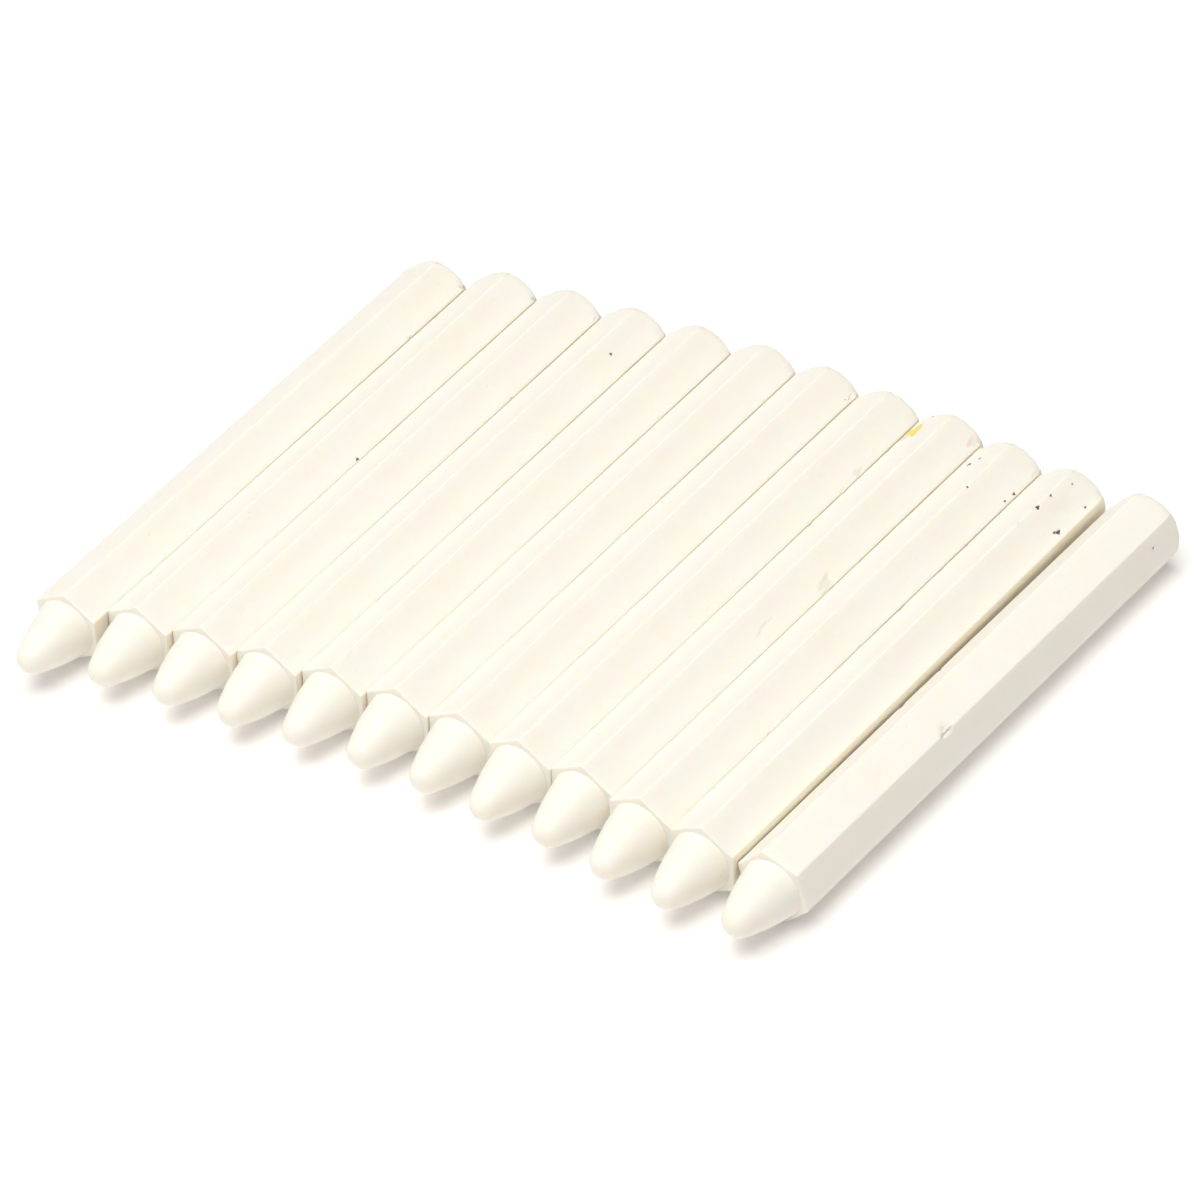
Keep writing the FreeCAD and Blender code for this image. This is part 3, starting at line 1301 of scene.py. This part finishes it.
@dataclass(frozen=True)
class Studio:
    """The board, the lamps and the camera.

    Attributes:
        azimuth: The camera's turn round the row, in degrees from looking along +Y.
        elevation: Its height above the board, in degrees.
        roll: Its roll, in degrees.
        distance: Its distance from the middle of the row's foot, in metres.
        lens: Its focal length, in millimetres.
        sensor: Its sensor's width, in millimetres.
        shift: Its shift right and up, in frame widths.
        lamps: The lamps.
        board: The board's material.
        board_size: The board's side, in metres.
        sky: Brightness of the even light all round.
        sky_colour: Its colour.
    """

    azimuth: float = 37.55
    elevation: float = 39.17
    roll: float = 3.89
    distance: float = 1.0356
    lens: float = 187.9
    sensor: float = 36.0
    shift: tuple[float, float] = (0.0076, 0.0175)
    lamps: tuple[Lamp, ...] = (
        Lamp("key_softbox", (-0.02, -0.36, 1.78), 1.8, 40.6),
        Lamp("front_fill", (-0.7, -1.15, 0.4), 0.8, 0.8),
    )
    board: PaleBoard = PaleBoard()
    board_size: float = 6.0
    sky: float = 0.18
    sky_colour: tuple = (1.0, 0.925, 0.94, 1.0)

    def build(self) -> None:
        """Sets up the board, the light and the camera."""
        low, high = CAD_BOX
        middle = Vector(((low.x + high.x) / 2, (low.y + high.y) / 2, low.z))
        self._lay_board(middle)
        self._light(middle)
        self._set_camera(middle)

    def _lay_board(self, middle: Vector) -> None:
        """Lays the board under the row, its middle part a little finer than its rim.

        Args:
            middle: The middle of the row's foot.
        """
        bpy.ops.object.select_all(action="DESELECT")
        bpy.ops.mesh.primitive_plane_add(size=self.board_size, location=middle)
        bench = Bench(bpy.context.object)
        bench.piece.name = "board"
        bench.open()
        bpy.ops.mesh.select_all(action="SELECT")
        bpy.ops.mesh.inset(thickness=self.board_size / 4, depth=0.0)
        bench.close()
        bpy.ops.object.transform_apply(location=True, rotation=True, scale=True)
        bench.piece.data.materials.append(self.board.material())

    def _light(self, middle: Vector) -> None:
        """Hangs the lamps and lights the room.

        Args:
            middle: The middle of the row's foot.
        """
        for lamp in self.lamps:
            lamp.hang(middle)
        world = bpy.data.worlds.new("studio_room")
        world.use_nodes = True
        background = world.node_tree.nodes["Background"]
        background.inputs["Color"].default_value = self.sky_colour
        background.inputs["Strength"].default_value = self.sky
        bpy.context.scene.world = world
        bpy.context.scene.view_settings.view_transform = "Standard"

    def _set_camera(self, middle: Vector) -> None:
        """Sets the camera.

        Args:
            middle: The middle of the row's foot.
        """
        turn = math.radians(self.azimuth)
        rise = math.radians(self.elevation)
        flat = math.cos(rise)
        back = Vector((math.sin(turn) * flat, -math.cos(turn) * flat, math.sin(rise)))
        lens = bpy.data.cameras.new("camera")
        lens.lens = self.lens
        lens.sensor_width = self.sensor
        lens.shift_x, lens.shift_y = self.shift
        camera = bpy.data.objects.new("camera", lens)
        bpy.context.scene.collection.objects.link(camera)
        camera.location = middle + back * self.distance
        aim = (-back).to_track_quat("-Z", "Y").to_matrix()
        tilt = Matrix.Rotation(-math.radians(self.roll), 3, "Z")
        camera.rotation_mode = "QUATERNION"
        camera.rotation_quaternion = (aim @ tilt).to_quaternion()
        bpy.context.scene.camera = camera


def own_marks() -> dict[int, tuple[Mark, ...]]:
    """Returns the marks that tell the sticks apart, by stick number."""
    pinhole, dent, chip = MarkKind.PINHOLE, MarkKind.DENT, MarkKind.CHIP
    smear, stain = MarkKind.SMEAR, MarkKind.STAIN
    right, upper_right, upper_left = Facet.RIGHT_FLAT, Facet.UPPER_RIGHT, Facet.UPPER_LEFT
    return {
        1: (
            Mark(chip, upper_right, 107.1, -3.2, 1.9, 1.6, 0.50),
            Mark(pinhole, upper_right, 107.2, -3.1, 1.6, 1.4, 0.30, 0.48),
            Mark(dent, upper_left, 30.0, 1.0, 5.0, 1.6, 0.06),
        ),
        2: (
            Mark(pinhole, upper_right, 54.2, -3.1, 0.9, 0.6, 0.22, 0.9),
            Mark(chip, upper_right, 106.9, -3.2, 1.6, 1.3, 0.42),
            Mark(pinhole, upper_right, 107.0, -3.1, 1.3, 1.3, 0.25, 0.45),
        ),
        3: (
            Mark(chip, upper_right, 106.0, -3.2, 1.5, 0.9, 0.25),
            Mark(dent, upper_right, 9.0, 0.6, 4.0, 1.4, 0.05),
        ),
        4: (
            Mark(pinhole, upper_left, 41.3, 1.8, 0.7, 0.55, 0.18, 0.6),
            Mark(pinhole, upper_right, 95.6, 0.5, 0.8, 0.7, 0.2, 0.85),
            Mark(dent, upper_left, 12.0, -0.8, 3.4, 1.2, 0.05),
        ),
        5: (
            Mark(smear, upper_left, 103.1, 3.2, 1.3, 0.9, 0.10, 0.7),
            Mark(pinhole, upper_left, 96.3, 2.6, 0.6, 0.4, 0.10, 0.4),
            Mark(dent, upper_right, 4.8, 2.5, 2.2, 1.2, 0.07),
        ),
        6: (
            Mark(pinhole, upper_left, 84.1, -1.6, 0.8, 0.5, 0.14, 0.5),
            Mark(smear, upper_right, 24.1, -3.3, 1.6, 0.7, 0.12, 0.6),
            Mark(chip, upper_right, 55.4, -3.3, 1.4, 0.7, 0.15),
        ),
        7: (
            Mark(chip, upper_right, 105.6, -3.0, 1.8, 1.0, 0.30),
            Mark(pinhole, upper_right, 104.4, -2.6, 0.7, 0.5, 0.15, 0.5),
        ),
        8: (
            Mark(smear, upper_right, 89.4, -2.9, 3.4, 1.5, 0.16, 0.75),
            Mark(chip, upper_right, 84.0, -3.3, 2.6, 0.7, 0.12),
        ),
        9: (
            Mark(stain, upper_left, 102.7, 2.2, 4.8, 3.0, 0.05),
            Mark(stain, upper_left, 100.3, 3.0, 3.2, 2.2, 0.04, 0.36),
            Mark(pinhole, upper_left, 107.4, 2.0, 0.8, 3.2, 0.14, 0.75),
            Mark(smear, upper_right, 105.8, -2.3, 3.0, 2.2, 0.16, 0.9),
            Mark(smear, upper_right, 107.2, -2.9, 2.0, 2.0, 0.20, 0.7),
            Mark(smear, upper_right, 61.7, -2.4, 4.4, 2.6, 0.20, 0.75),
            Mark(chip, upper_right, 61.0, -3.4, 5.0, 1.3, 0.22),
            Mark(smear, upper_right, 46.3, -0.4, 4.2, 0.9, 0.12, 0.6),
            Mark(smear, upper_right, 44.4, -0.9, 2.4, 0.7, 0.10, 0.5),
        ),
        10: (
            Mark(pinhole, upper_left, 101.2, 1.9, 1.3, 0.9, 0.24),
            Mark(pinhole, upper_left, 102.9, 0.7, 0.8, 0.7, 0.20),
            Mark(pinhole, upper_right, 93.4, 3.2, 0.7, 0.6, 0.18, 0.8),
            Mark(pinhole, upper_right, 99.4, -3.0, 0.9, 0.7, 0.18, 0.8),
            Mark(pinhole, upper_right, 96.9, -2.8, 0.9, 0.6, 0.18, 0.7),
            Mark(smear, upper_right, 105.7, -3.1, 2.2, 1.2, 0.12, 0.8),
            Mark(dent, upper_right, 97.0, 0.8, 4.0, 2.2, 0.06),
        ),
        11: (
            Mark(pinhole, upper_right, 94.9, -2.3, 1.5, 0.8, 0.30),
            Mark(pinhole, upper_right, 94.2, -1.9, 0.9, 0.6, 0.20, 0.8),
            Mark(pinhole, upper_right, 95.6, 3.0, 1.1, 0.9, 0.24, 0.9),
            Mark(pinhole, upper_right, 99.5, 2.9, 0.8, 0.6, 0.18, 0.7),
            Mark(pinhole, upper_right, 104.6, 1.8, 0.7, 0.6, 0.16, 0.6),
            Mark(pinhole, upper_right, 102.9, -2.4, 0.8, 0.6, 0.18, 0.7),
            Mark(pinhole, upper_left, 90.4, -3.3, 0.7, 0.5, 0.14, 0.5),
            Mark(smear, upper_right, 100.0, 0.4, 7.0, 3.2, 0.04, 0.22),
            Mark(smear, right, 2.4, 0.6, 4.0, 3.4, 0.05, 0.5),
        ),
        12: (
            Mark(chip, upper_right, 41.2, -3.4, 3.6, 2.0, 0.55),
            Mark(smear, upper_right, 41.7, -2.4, 3.4, 1.7, 0.10, 0.55),
            Mark(chip, upper_left, 45.3, 3.3, 1.6, 0.9, 0.24),
            Mark(pinhole, upper_right, 37.6, 1.7, 0.8, 0.6, 0.12, 0.3),
            Mark(pinhole, right, 100.7, 0.8, 0.9, 0.7, 0.16, 0.6),
            Mark(dent, right, 62.0, -0.8, 5.0, 2.2, 0.08),
            Mark(dent, right, 24.0, 1.1, 3.2, 1.6, 0.06),
        ),
    }


def main() -> None:
    """Builds the row and the studio."""
    logging.basicConfig(level=logging.INFO, format="%(name)s %(message)s")
    row = StickRow(marks=own_marks())
    pieces = row.build()
    LOG.info("%d sticks in the row", len(pieces))
    Studio().build()
    LOG.info("studio is set")


if __name__ == "__main__":
    main()
